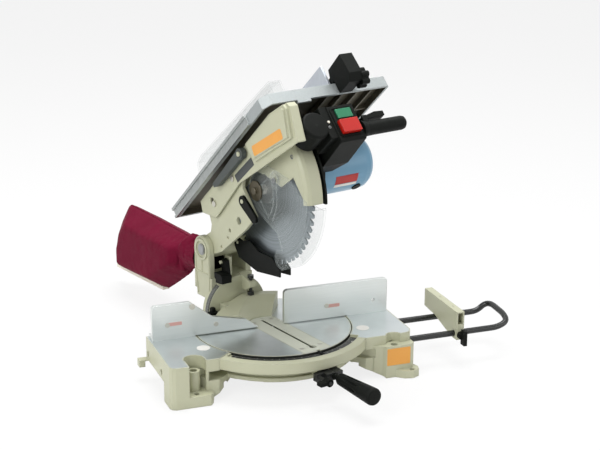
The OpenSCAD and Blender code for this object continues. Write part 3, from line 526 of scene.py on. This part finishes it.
def marked_plate(name, matrix, axes, ground_colour, inner, outer):
    m, t, b = start(name, 0.4)
    place = split(t, local_place(t, matrix))
    u, v = place[axes[0]], place[axes[1]]
    degrees = calc(t, "MULTIPLY", calc(t, "ARCTAN2", u, v), 180 / math.pi)
    reach = distance(t, u, v)
    marks = []
    for step, width, depth in ((1, 0.08, inner), (5, 0.03, outer)):
        part = calc(t, "FRACT", calc(t, "ADD", calc(t, "DIVIDE", degrees, step), 0.5))
        line = calc(t, "LESS_THAN", calc(t, "ABSOLUTE", calc(t, "SUBTRACT", part, 0.5)), width)
        marks.append(calc(t, "MULTIPLY", line, calc(t, "LESS_THAN", reach, depth)))
    g = use(t, grain_group, Size=900.0)
    ink = mix(t, g["Tone"], swatch(140, 142, 134), swatch(164, 165, 157))
    ground_tone = mix(t, g["Tone"], swatch(*ground_colour), swatch(*[v * 1.3 for v in ground_colour]))
    wire(t, mix(t, calc(t, "MAXIMUM", *marks), ground_tone, ink), b["Base Color"])
    wire(t, bump(t, g["Height"], 0.3, 0.00005), b["Normal"])
    return m


cover("miter_scale", marked_plate("mitre_scale", Matrix.Identity(4), (1, 0), (20, 22, 20), 0.1386, 0.1408))
bevel_place = ON_TABLE @ Matrix.Translation((0, 110, TABLE_TOP))
cover("bevel_scale", marked_plate("bevel_scale_plate", bevel_place, (2, 0), (60, 62, 60), 0.0605, 0.0605))
print("scales marked")

# %% [markdown]
# Small fittings come next: blank labels, screws, numerals, trim. Each is modelled in millimetres round the
# origin, from a primitive, and then laid on the face that carries it. Laying it down writes the place into the
# mesh, so the finished object sits at the origin like the solids do.

# %% Helpers for modelled pieces


def fresh(name, add, **size):
    bpy.ops.object.select_all(action="DESELECT")
    add(**size)
    o = bpy.context.object
    o.name = o.data.name = name
    return o


def edit(o, kind, test):
    """Enters edit mode with only the faces, edges or vertices selected that pass a test."""
    bpy.ops.object.mode_set(mode="EDIT")
    bpy.ops.mesh.select_mode(type={"faces": "FACE", "edges": "EDGE", "verts": "VERT"}[kind])
    bpy.ops.mesh.select_all(action="DESELECT")
    mesh = bmesh.from_edit_mesh(o.data)
    for part in getattr(mesh, kind):
        part.select_set(bool(test(part)))
    mesh.select_flush_mode()
    bmesh.update_edit_mesh(o.data)


def seat(frame_of, origin, along, out):
    """A place on a face, in the millimetres of the base, table or head: x along, z out of the face."""
    x, z = Vector(along).normalized(), Vector(out).normalized()
    m = Matrix((x, z.cross(x), z)).transposed().to_4x4()
    m.translation = origin
    return frame_of @ m


def settle(o, place, body, finish, angle=35):
    if o.mode != "OBJECT":
        bpy.ops.object.mode_set(mode="OBJECT")
    bpy.ops.object.select_all(action="DESELECT")
    o.select_set(True)
    bpy.context.view_layer.objects.active = o
    o.matrix_world = place
    bpy.ops.object.transform_apply(location=True, rotation=True, scale=True)
    bpy.ops.object.shade_smooth_by_angle(angle=math.radians(angle))
    o.data.materials.clear()
    o.data.materials.append(finish)
    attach(o, body)


def again(o, name):
    other = o.copy()
    other.data = o.data.copy()
    other.name = other.data.name = name
    scene.collection.objects.link(other)
    return other


LEFT, FRONT, UP = (-1, 0, 0), (0, -1, 0), (0, 0, 1)
print("piece helpers ready")

# %% [markdown]
# The makers' words and pictures are left off, but the labels they stood on are part of how the saw looks. They
# are plain films with rounded corners: a plane, its corners bevelled, given the thickness of a foil.

# %% Blank labels


def label(name, size, corner, place, body, slot, finish, thick=0.35):
    o = fresh(name, bpy.ops.mesh.primitive_plane_add, size=1)
    o.scale = (size[0], size[1], 1)
    bpy.ops.object.transform_apply(scale=True)
    edit(o, "verts", lambda v: True)
    bpy.ops.mesh.bevel(offset=corner, segments=4, affect="VERTICES")
    bpy.ops.mesh.select_all(action="SELECT")
    bpy.ops.mesh.extrude_region_move(TRANSFORM_OT_translate={"value": (0, 0, thick)})
    bpy.ops.mesh.select_all(action="SELECT")
    bpy.ops.mesh.normals_make_consistent(inside=False)
    settle(o, place, body, finish)


def foil(name, colour, worn, rough=0.4, tone=0.05):
    return moulded(name, colour, rough, worn=worn, grain=600.0, depth=0.00003, radius=0.0006, tone=tone)


COVER_X, FIELD_X, BLOCK_Y = -42, -50, -117
orange_foil = foil("orange_foil", (228, 160, 70), (236, 190, 120), 0.38, 0.05)
dark_foil = foil("dark_foil", (58, 62, 62), (120, 122, 118), 0.36, 0.06)
white_foil = foil("white_foil", (222, 220, 214), (238, 236, 232), 0.4, 0.03)
rose_foil = foil("rose_foil", (206, 158, 150), (226, 196, 190), 0.4, 0.05)
label("cover_label", (92, 17), 3, seat(ON_HEAD, (FIELD_X, -117, 26.9), (0, -92, -20.9), LEFT),
      "head", "cream", orange_foil)
label("cover_plate", (64, 14), 1.5, seat(ON_HEAD, (COVER_X, -17, 32.5), (0, -1, -0.04), LEFT),
      "head", "cream", dark_foil)
label("block_label", (42, 30), 1.5, seat(ON_BASE, (182, BLOCK_Y, 37), (1, 0, 0), FRONT),
      "base", "cream", orange_foil)
for side, x, z in (("left", -171, 98.5), ("right", 110, 95)):
    label("fence_label_" + side, (24, 6), 1.2, seat(ON_BASE, (x, 0, z), (1, 0, 0), FRONT),
          "base", "cast_alu", rose_foil)
print("labels laid")

# %% Round wing labels and the motor label
for side, x, y in (("left", -139, -54), ("right", 140, -60)):
    disc = fresh("wing_label_" + side, bpy.ops.mesh.primitive_circle_add, vertices=48, radius=11,
                 fill_type="NGON")
    edit(disc, "faces", lambda f: True)
    bpy.ops.mesh.extrude_region_move(TRANSFORM_OT_translate={"value": (0, 0, 0.3)})
    bpy.ops.mesh.inset(thickness=1.0)
    bpy.ops.mesh.select_all(action="SELECT")
    bpy.ops.mesh.normals_make_consistent(inside=False)
    settle(disc, seat(ON_BASE, (x, y, TABLE_TOP), (1, 0, 0), UP), "base", white_foil)

MOTOR_AT, MOTOR_R = (110, -35, 5), 47.0
for name, low, high, finish in (("motor_label", -129, -110, red), ("motor_label_foot", -109, -102, white_foil)):
    film = fresh(name, bpy.ops.mesh.primitive_cylinder_add, vertices=240, radius=MOTOR_R + 0.05, depth=46,
                 end_fill_type="NOTHING", rotation=(0, math.pi / 2, 0))
    bpy.ops.object.transform_apply(rotation=True)
    for angle, keep in ((low, 1), (high, -1)):
        edit(film, "faces", lambda f: True)
        a = math.radians(angle)
        bpy.ops.mesh.bisect(plane_co=(0, 0, 0), plane_no=(0, -keep * math.sin(a), keep * math.cos(a)),
                            clear_inner=True)
    bpy.ops.object.mode_set(mode="OBJECT")
    wall = film.modifiers.new("wall", "SOLIDIFY")
    wall.thickness, wall.offset = 0.3, 1
    bpy.ops.object.modifier_apply(modifier="wall")
    settle(film, ON_HEAD @ Matrix.Translation(MOTOR_AT), "head", finish)
    print(name, len(film.data.polygons), "faces")

# %% [markdown]
# Screws hold the case, the switch panel and the guard's lug. One is turned from a cylinder: its top is inset
# and pushed in for the key, its rim is rounded, and the others are copies scaled to their size.

# %% Cap screws
screw = fresh("case_screw", bpy.ops.mesh.primitive_cylinder_add, vertices=24, radius=1, depth=0.6,
              location=(0, 0, 0.3))
edit(screw, "faces", lambda f: f.normal.z > 0.9)
bpy.ops.mesh.inset(thickness=0.42)
bpy.ops.mesh.extrude_region_move(TRANSFORM_OT_translate={"value": (0, 0, -0.4)})
edit(screw, "edges", lambda e: all(v.co.z > 0.59 and v.co.xy.length > 0.95 for v in e.verts))
bpy.ops.mesh.bevel(offset=0.16, segments=3)
bpy.ops.object.mode_set(mode="OBJECT")
PANEL_Y = -191
for name, at, size, out, body in (
        ("panel_screw", (20, PANEL_Y + 2, 0), 2.3, FRONT, "head"),
        ("lug_screw", (-29, -62, -15), 4.5, LEFT, "guard")):
    copy = again(screw, name)
    settle(copy, seat(ON_HEAD, at, (0, 0, 1), out) @ Matrix.Scale(size, 4), body, steel)
settle(screw, seat(ON_HEAD, (-18, -118.5, -6), (0, 0, 1), LEFT) @ Matrix.Scale(3.8, 4), "head", steel)

# %% [markdown]
# Two moulded details sit on the head: a raised frame round the push buttons, with a small lamp beside it, and
# the clear lug on the blade guard that its link pushes on. Both start as flat or square blocks.

# %% Button frame, lamp and guard lug
bezel = fresh("button_frame", bpy.ops.mesh.primitive_plane_add, size=1)
bezel.scale = (43, 52.5, 1)
bpy.ops.object.transform_apply(scale=True)
edit(bezel, "verts", lambda v: True)
bpy.ops.mesh.bevel(offset=5, segments=4, affect="VERTICES")
edit(bezel, "faces", lambda f: True)
bpy.ops.mesh.inset(thickness=3)
bpy.ops.mesh.delete(type="FACE")
bpy.ops.mesh.select_all(action="SELECT")
bpy.ops.mesh.extrude_region_move(TRANSFORM_OT_translate={"value": (0, 0, 1.5)})
bpy.ops.mesh.select_all(action="SELECT")
bpy.ops.mesh.normals_make_consistent(inside=False)
settle(bezel, seat(ON_HEAD, (53, PANEL_Y, 5.25), (1, 0, 0), FRONT), "head", nylon)

lamp_lens = fresh("panel_lamp", bpy.ops.mesh.primitive_uv_sphere_add, segments=24, ring_count=12, radius=2.4)
edit(lamp_lens, "verts", lambda v: True)
bpy.ops.mesh.bisect(plane_co=(0, 0, 0), plane_no=(0, 0, 1), clear_inner=True, use_fill=True)
bpy.ops.mesh.select_all(action="SELECT")
bpy.ops.transform.resize(value=(1, 1, 0.6))
settle(lamp_lens, seat(ON_HEAD, (22, PANEL_Y + 2, 9), (1, 0, 0), FRONT), "head", white)

lug = fresh("guard_lug", bpy.ops.mesh.primitive_cube_add, size=1)
lug.scale = (28, 22, 4)
bpy.ops.object.transform_apply(scale=True)
edit(lug, "edges", lambda e: abs(e.verts[0].co.z - e.verts[1].co.z) > 3)
bpy.ops.mesh.bevel(offset=6, segments=4)
edit(lug, "faces", lambda f: f.normal.z > 0.9)
bpy.ops.mesh.inset(thickness=2)
bpy.ops.mesh.extrude_region_move(TRANSFORM_OT_translate={"value": (0, 0, -2)})
settle(lug, seat(ON_HEAD, (-27, -62, -15), (0, 0.86, -0.5), LEFT), "guard", clear_plastic)
print("frame, lamp and lug made")

# %% [markdown]
# Plain numerals stand beside the degree marks, as on any dial. They are text, made a mesh and laid along the
# ring.

# %% Numerals on the mitre scale
SCALE_TOP, FIGURE_R = TABLE_TOP - 4.6 + 1.4, 147.4
for degrees in (0, 15, 30, 45, -15, -30, -45):
    bpy.ops.object.select_all(action="DESELECT")
    bpy.ops.object.text_add()
    figure = bpy.context.object
    figure.data.body = str(abs(degrees))
    figure.data.size = 5.2
    figure.data.align_x = "CENTER"
    figure.data.extrude = 0.06
    bpy.ops.object.convert(target="MESH")
    figure = bpy.context.object
    figure.name = figure.data.name = "scale_figure_" + str(degrees).replace("-", "l")
    a = math.radians(-90 + degrees)
    spot = (FIGURE_R * math.cos(a), FIGURE_R * math.sin(a), SCALE_TOP + 0.05)
    settle(figure, seat(ON_BASE, spot, (-math.sin(a), math.cos(a), 0), UP), "base", white_foil)

# %% [markdown]
# Beads and rods are round lines along a path. A path is drawn through a few points, its corners are rounded,
# and a curve with a round section follows it; then it is made a mesh. The holder's rods are bent from one bar,
# so here they get real bends in place of the solid's straight lengths.

# %% Round lines


def rounded(points, turn):
    """The path with every inner corner replaced by a curve that starts and ends turn millimetres from it."""
    points = [Vector(p) for p in points]
    path = [points[0]]
    for before, corner, after in zip(points, points[1:], points[2:]):
        a = corner + (before - corner).normalized() * min(turn, (before - corner).length * 0.49)
        b = corner + (after - corner).normalized() * min(turn, (after - corner).length * 0.49)
        for i in range(9):
            k = i / 8
            path.append(a * (1 - k) ** 2 + corner * 2 * k * (1 - k) + b * k * k)
    return path + [points[-1]]


def bead(name, points, radius, turn, place, body, finish, sides=4):
    path = rounded(points, turn)
    line = bpy.data.curves.new(name, "CURVE")
    line.dimensions = "3D"
    line.bevel_depth, line.bevel_resolution, line.use_fill_caps = radius, sides, True
    spline = line.splines.new("POLY")
    spline.points.add(len(path) - 1)
    for point, p in zip(spline.points, path):
        point.co = (*p, 1)
    o = bpy.data.objects.new(name, line)
    scene.collection.objects.link(o)
    bpy.ops.object.select_all(action="DESELECT")
    o.select_set(True)
    bpy.context.view_layer.objects.active = o
    bpy.ops.object.convert(target="MESH")
    o = bpy.context.object
    settle(o, place, body, finish)
    return o


ROD_Z, ROD_Y1, ROD_Y2, ROD_X = TABLE_TOP - 19, -90, -9, 404
bar = [(150, ROD_Y1, ROD_Z), (ROD_X - 24, ROD_Y1, ROD_Z), (ROD_X - 4, ROD_Y1 + 5, ROD_Z + 6),
       (ROD_X, ROD_Y1 + 24, ROD_Z + 12), (ROD_X, ROD_Y2 - 10, ROD_Z + 14.5), (ROD_X - 8, ROD_Y2, ROD_Z + 12),
       (ROD_X - 23, ROD_Y2, ROD_Z), (175, ROD_Y2, ROD_Z)]
rods = bead("holder_rods_bent", bar, 5.2, 12, ON_BASE, "rods", enamel, 6)
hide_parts("holder_rods")
print("rods", len(rods.data.polygons), "faces")

# %% [markdown]
# The ear that holds the head's pivot is cast with a raised edge and webs round its ring. They stand only a
# millimetre or two, so they are beads sunk half into the face.

# %% Edge and webs of the pivot ear
EAR_X, PIVOT_Y, PIVOT_Z = -46, 148, TABLE_TOP + 105
EAR_R, EAR_FRONT, EAR_BACK = 21.6, 124.5, 167
WEB_TOP, WEB_LOW = 19, 42
over = [math.radians(a) for a in range(0, 181, 12)]
over = [(EAR_X, PIVOT_Y + EAR_R * math.cos(a), PIVOT_Z + EAR_R * math.sin(a)) for a in over]
edge_line = [(EAR_X, 161, TABLE_TOP + 22), (EAR_X, EAR_BACK, TABLE_TOP + 60), *over,
             (EAR_X, EAR_FRONT, TABLE_TOP + 60), (EAR_X, EAR_FRONT, TABLE_TOP + 30)]
bead("ear_edge", edge_line, 1.7, 3, ON_TABLE, "bracket", paint)
for name, a, b in (("ear_web_low", (PIVOT_Y, PIVOT_Z - WEB_TOP), (PIVOT_Y, PIVOT_Z - WEB_LOW)),
                   ("ear_web_top", (PIVOT_Y, PIVOT_Z + WEB_TOP), (PIVOT_Y, PIVOT_Z + 21)),
                   ("ear_web_cross", (126, PIVOT_Z - WEB_LOW), (EAR_BACK, PIVOT_Z - WEB_LOW))):
    middle = ((a[0] + b[0]) / 2, (a[1] + b[1]) / 2)
    bead(name, [(EAR_X, *p) for p in (a, middle, b)], 1.5, 2, ON_TABLE, "bracket", paint)
print("ear trimmed")

# %% [markdown]
# The dust bag is sewn cloth. Its solid only gives the outer shape, so a copy is remeshed finely and blown up a
# little with the cloth solver, as air fills the real one. Near the nozzle the cloth is held, so it gathers
# there.

# %% Dust bag by cloth simulation


def table_axis(*axis):
    return (ON_TABLE.to_3x3() @ Vector(axis)).normalized()


bpy.ops.object.select_all(action="DESELECT")
BAG_MIDDLE, BAG_FRONT, HELD_TO, HELD_FADE, SWELL = -4, 222, 262, 16, 0.009
bag = again(nodes["dust_bag"], "dust_bag_cloth")
bag.parent = None
bag.matrix_world = Matrix.Identity(4)
bpy.context.view_layer.objects.active = bag
bag.select_set(True)
to_table = ON_TABLE.inverted()
edit(bag, "verts", lambda v: True)
bpy.ops.mesh.remove_doubles(threshold=0.0001)
bpy.ops.mesh.normals_make_consistent(inside=False)
bpy.ops.mesh.bisect(plane_co=ON_TABLE @ Vector((0, BAG_FRONT, 0)), plane_no=table_axis(0, 1, 0),
                    clear_inner=True, use_fill=True)
bpy.ops.mesh.select_all(action="SELECT")
bpy.ops.transform.resize(value=(0.985, 0.985, 0.985))
bpy.ops.object.mode_set(mode="OBJECT")
finer = bag.modifiers.new("finer", "REMESH")
finer.mode = "VOXEL"
finer.voxel_size = 0.005
bpy.ops.object.modifier_apply(modifier="finer")
held = bag.vertex_groups.new(name="held")
for v in bag.data.vertices:
    back = (to_table @ v.co).y
    if back < HELD_TO:
        held.add([v.index], min(1.0, (HELD_TO - back) / HELD_FADE), "ADD")
was = [v.co.copy() for v in bag.data.vertices]
cloth = bag.modifiers.new("cloth", "CLOTH")
cloth.settings.quality = 5
cloth.settings.mass = 0.3
cloth.settings.tension_stiffness = 12
cloth.settings.compression_stiffness = 12
cloth.settings.bending_stiffness = 0.3
cloth.settings.vertex_group_mass = "held"
cloth.settings.use_pressure = True
cloth.settings.uniform_pressure_force = 3.0
cloth.settings.effector_weights.gravity = 0.25
for step in range(1, 19):
    scene.frame_set(step)
bpy.ops.object.modifier_apply(modifier="cloth")
scene.frame_set(1)
for v, old in zip(bag.data.vertices, was):
    moved = v.co - old
    if moved.length > SWELL:
        v.co = old + moved * (SWELL / moved.length)
even = bag.modifiers.new("even", "SMOOTH")
even.factor, even.iterations = 0.5, 3
bpy.ops.object.modifier_apply(modifier="even")
print("bag faces", len(bag.data.polygons))

# %% [markdown]
# The bag's finish is a plain weave: two crossed waves for the threads, a slow change of dye, and soft creases
# from a stretched noise that fades towards the tight back end.

# %% Bag cloth
woven, t, b = start("woven_bag_cloth", 0.85, spec=0.1)
b["Sheen Weight"].default_value = 0.04
b["Sheen Roughness"].default_value = 0.5
lie = local_place(t, Matrix.Rotation(MITRE, 4, "Z"))
threads = []
for axis in ("Y", "Z"):
    w = t.nodes.new("ShaderNodeTexWave")
    w.wave_type, w.bands_direction = "BANDS", axis
    w.inputs["Scale"].default_value = 260
    w.inputs["Distortion"].default_value = 0.4
    wire(t, lie, w.inputs["Vector"])
    threads.append(w.outputs["Fac"])
crossed = calc(t, "MAXIMUM", *threads)
g = use(t, grain_group, Size=26.0, Tone_Size=16.0)
dye = mix(t, g["Tone"], swatch(96, 7, 36), swatch(116, 14, 48))
wire(t, mix(t, span(t, crossed, 0.75, 1.0), swatch(78, 8, 30), dye), b["Base Color"])
creases = calc(t, "MULTIPLY", g["Height"], span(t, split(t, lie)[1], 1.0, 0.25, 0.24, 0.42))
wire(t, bump(t, crossed, 0.4, 0.0003, bump(t, creases, 0.6, 0.012)), b["Normal"])
bag.data.materials.clear()
bag.data.materials.append(woven)
bpy.ops.object.shade_smooth()
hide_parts("dust_bag")
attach(bag, "bracket")
print("bag dressed")

# %% [markdown]
# Two sides of cloth meet in a seam all round the bag. The seam is cut from the finished cloth itself: a copy is
# sliced down the middle, only the slice's outline is kept, and a round cord follows it. A gathered cuff closes
# the bag on the nozzle.

# %% Seam and cuff
piping = again(bag, "bag_seam")
bpy.ops.object.select_all(action="DESELECT")
piping.select_set(True)
bpy.context.view_layer.objects.active = piping
edit(piping, "verts", lambda v: True)
bpy.ops.mesh.bisect(plane_co=ON_TABLE @ Vector((BAG_MIDDLE, 300, 0)), plane_no=table_axis(1, 0, 0))
bpy.ops.mesh.select_all(action="INVERT")
bpy.ops.mesh.delete(type="VERT")
bpy.ops.object.mode_set(mode="OBJECT")
bpy.ops.object.convert(target="CURVE")
piping = bpy.context.object
piping.data.bevel_depth, piping.data.bevel_resolution = 0.0016, 3
bpy.ops.object.convert(target="MESH")
piping = bpy.context.object
settle(piping, Matrix.Identity(4), "bracket", woven, 60)

cuff = fresh("bag_cuff", bpy.ops.mesh.primitive_cylinder_add, vertices=72, radius=25.6, depth=36,
             end_fill_type="NOTHING")
edit(cuff, "edges", lambda e: abs(e.verts[0].co.z - e.verts[1].co.z) > 1)
bpy.ops.mesh.subdivide(number_cuts=7)
bpy.ops.object.mode_set(mode="OBJECT")
for v in cuff.data.vertices:
    turn = math.atan2(v.co.y, v.co.x)
    pinch = 1 + 0.016 * math.cos(18 * turn) - 0.02 * math.exp(-((v.co.z - 9) / 4) ** 2)
    v.co.x *= pinch
    v.co.y *= pinch
wall = cuff.modifiers.new("wall", "SOLIDIFY")
wall.thickness, wall.offset = 1.2, -1
bpy.ops.object.modifier_apply(modifier="wall")
settle(cuff, seat(ON_TABLE, (BAG_MIDDLE, 224, TABLE_TOP + 68), (1, 0, 0), FRONT), "bracket", woven, 60)
print("seam", len(piping.data.polygons), "cuff", len(cuff.data.polygons))
